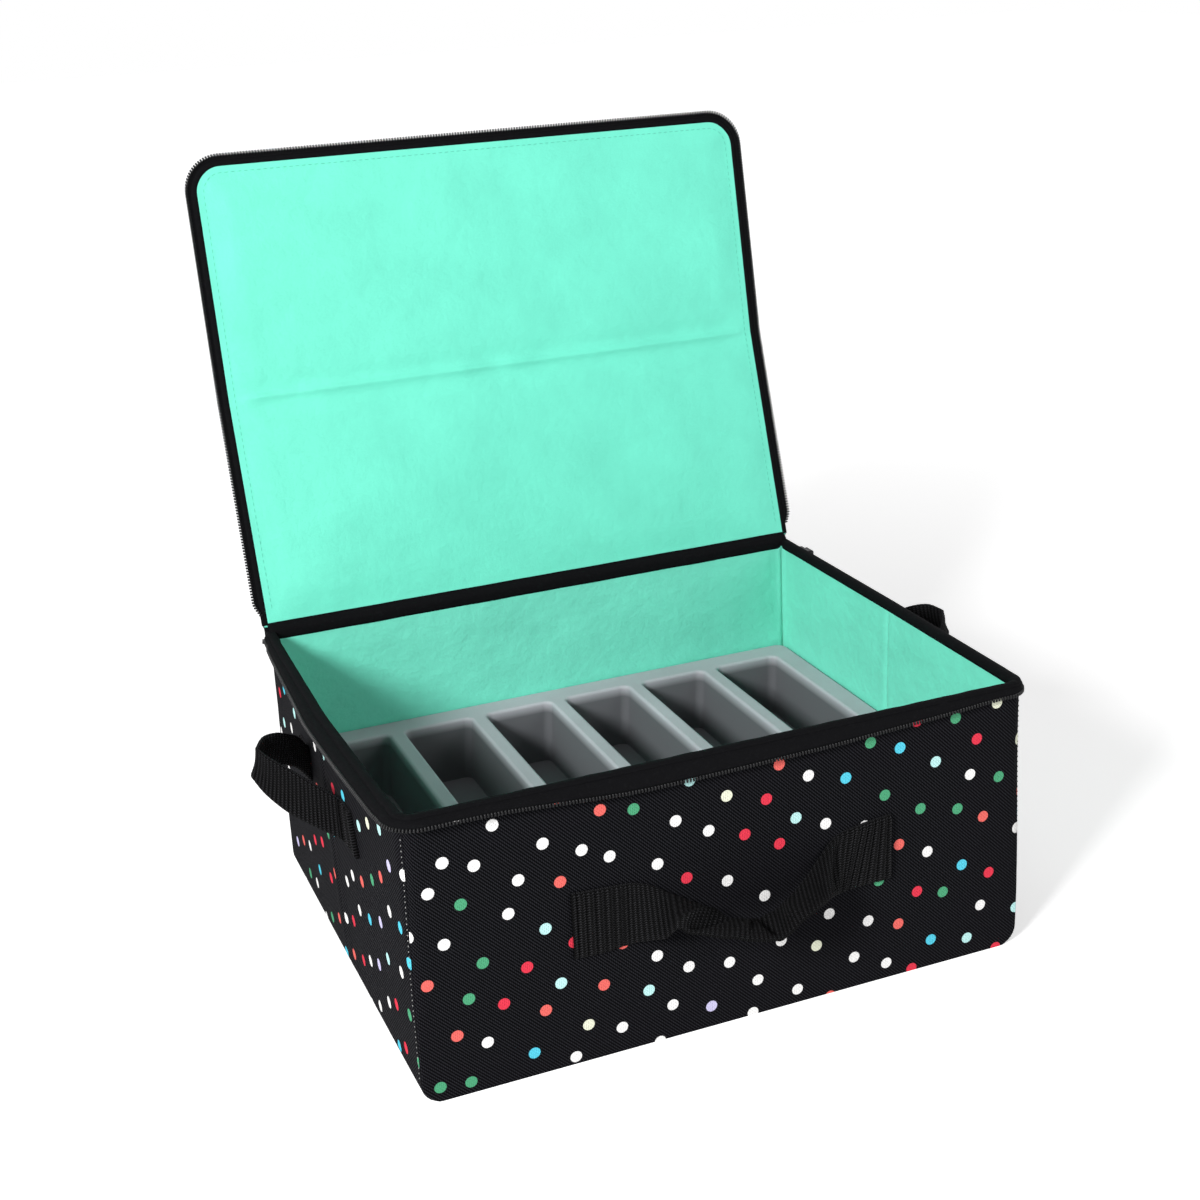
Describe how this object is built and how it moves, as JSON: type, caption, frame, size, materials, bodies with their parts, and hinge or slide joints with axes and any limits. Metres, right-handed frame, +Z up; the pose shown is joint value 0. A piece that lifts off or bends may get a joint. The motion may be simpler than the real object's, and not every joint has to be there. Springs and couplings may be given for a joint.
{
  "type": "craft punch organizer",
  "caption": "Zip-up storage box of printed fabric over stiff boards, with a folding hinged lid, a moulded tray of long pockets and webbing carry handles",
  "frame": {"origin": "centre of the base's underside, on the surface it stands on", "axes": "+X runs right along the front, +Y to the back where the lid is hinged, +Z up. The lid stands open and the handles hang as in the picture."},
  "size_m": [0.4666, 0.4049, 0.4469],
  "materials": {
    "printed_fabric": "black polyester twill printed with scattered 6.5 mm dots in white, red, coral, green, aqua and lavender",
    "black_fabric": "plain black polyester",
    "stiff_board": "grey-brown chipboard",
    "mint_lining": "thin smooth mint polyester",
    "zip_tape": "fine woven black tape",
    "zip_coil": "black nylon coil",
    "zip_metal": "black enamelled zinc",
    "webbing": "black herringbone webbing, 38 mm wide on the front handle and 25 mm on the side ones",
    "tray_plastic": "grey thermoformed sheet with a soft matt surface"
  },
  "bodies": {
    "case": {"outer_front_panel": "printed_fabric", "outer_back_panel": "printed_fabric", "outer_left_panel": "printed_fabric", "outer_right_panel": "printed_fabric", "outer_bottom_panel": "black_fabric", "front_board": "stiff_board", "back_board": "stiff_board", "left_front_board": "stiff_board", "left_rear_board": "stiff_board", "right_front_board": "stiff_board", "right_rear_board": "stiff_board", "base_board": "stiff_board", "lining_front": "mint_lining", "lining_back": "mint_lining", "lining_left": "mint_lining", "lining_right": "mint_lining", "lining_bottom": "mint_lining", "rim_binding_front": "black_fabric", "rim_binding_left": "black_fabric", "rim_binding_right": "black_fabric", "hinge_tape": "black_fabric", "case_zip_tape": "zip_tape", "case_zip_coil": "zip_coil", "zip_end_stops": "zip_metal", "front_handle_ends": "webbing", "left_handle_ends": "webbing", "right_handle_ends": "webbing"},
    "lid_rear": {"lid_rear_cover": "printed_fabric", "lid_rear_board": "stiff_board", "lid_rear_lining": "mint_lining", "lid_rear_zip_tapes": "zip_tape", "lid_rear_zip_coils": "zip_coil"},
    "lid_front": {"lid_front_cover": "printed_fabric", "lid_front_board": "stiff_board", "lid_front_lining": "mint_lining", "lid_front_zip_tape": "zip_tape", "lid_front_zip_coil": "zip_coil"},
    "tray": {"punch_tray": "tray_plastic"},
    "slider": {"zip_slider": "zip_metal"},
    "pull": {"zip_pull": "zip_metal"},
    "front_handle": {"front_handle_strap": "webbing"},
    "left_handle": {"left_handle_strap": "webbing"},
    "right_handle": {"right_handle_strap": "webbing"}
  },
  "joints": [
    {"name": "lid_hinge", "type": "hinge", "parent": "case", "child": "lid_rear", "pos_m": [0, 0.1415, 0.166], "axis": [-1, 0, 0], "range_deg": [-105, 0]},
    {"name": "lid_fold", "type": "hinge", "parent": "lid_rear", "child": "lid_front", "pos_m": [0, 0.19034, 0.29938], "axis": [-1, 0, 0], "range_deg": [0, 175]},
    {"name": "tray_lift", "type": "slide", "parent": "case", "child": "tray", "axis": [0, 0, 1], "range_m": [0, 0.17]},
    {"name": "slider_run", "type": "slide", "parent": "case", "child": "slider", "axis": [0, -1, 0], "range_m": [0, 0.235]},
    {"name": "pull_swing", "type": "hinge", "parent": "slider", "child": "pull", "pos_m": [0.19115, 0.12715, 0.1574], "axis": [0, -1, 0], "range_deg": [-5, 110]},
    {"name": "front_handle_swing", "type": "hinge", "parent": "case", "child": "front_handle", "pos_m": [0, -0.1433, 0.1015], "axis": [-1, 0, 0], "range_deg": [0, 85]},
    {"name": "left_handle_swing", "type": "hinge", "parent": "case", "child": "left_handle", "pos_m": [-0.1822, 0, 0.1295], "axis": [0, 1, 0], "range_deg": [0, 40]},
    {"name": "right_handle_swing", "type": "hinge", "parent": "case", "child": "right_handle", "pos_m": [0.1822, 0, 0.1295], "axis": [0, -1, 0], "range_deg": [0, 40]}
  ]
}
